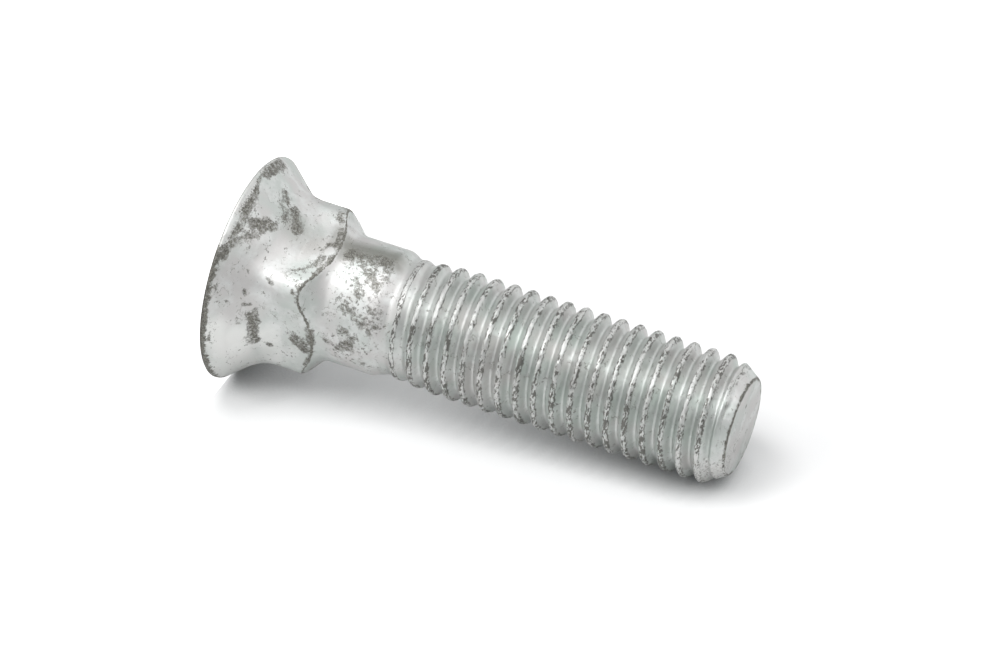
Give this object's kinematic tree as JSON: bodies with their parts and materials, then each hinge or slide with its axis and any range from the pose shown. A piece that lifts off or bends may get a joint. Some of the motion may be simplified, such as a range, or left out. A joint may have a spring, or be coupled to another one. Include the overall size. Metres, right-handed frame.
{
  "type": "plow bolt",
  "caption": "Right-hand coarse-threaded bolt with a flat round countersunk head, a short square neck with rounded edges, a plain shank and a pointed end.",
  "frame": {"origin": "centre of the head's flat face, on which the bolt stands", "axes": "+Z along the bolt from the head to the threaded point; the neck's flats face +X, -X, +Y and -Y"},
  "size_m": [0.028, 0.028, 0.0642],
  "materials": {
    "zinc_steel": "dull zinc coating, worn in patches"
  },
  "bodies": {
    "root": {"plow_bolt": "zinc_steel"}
  },
  "joints": []
}
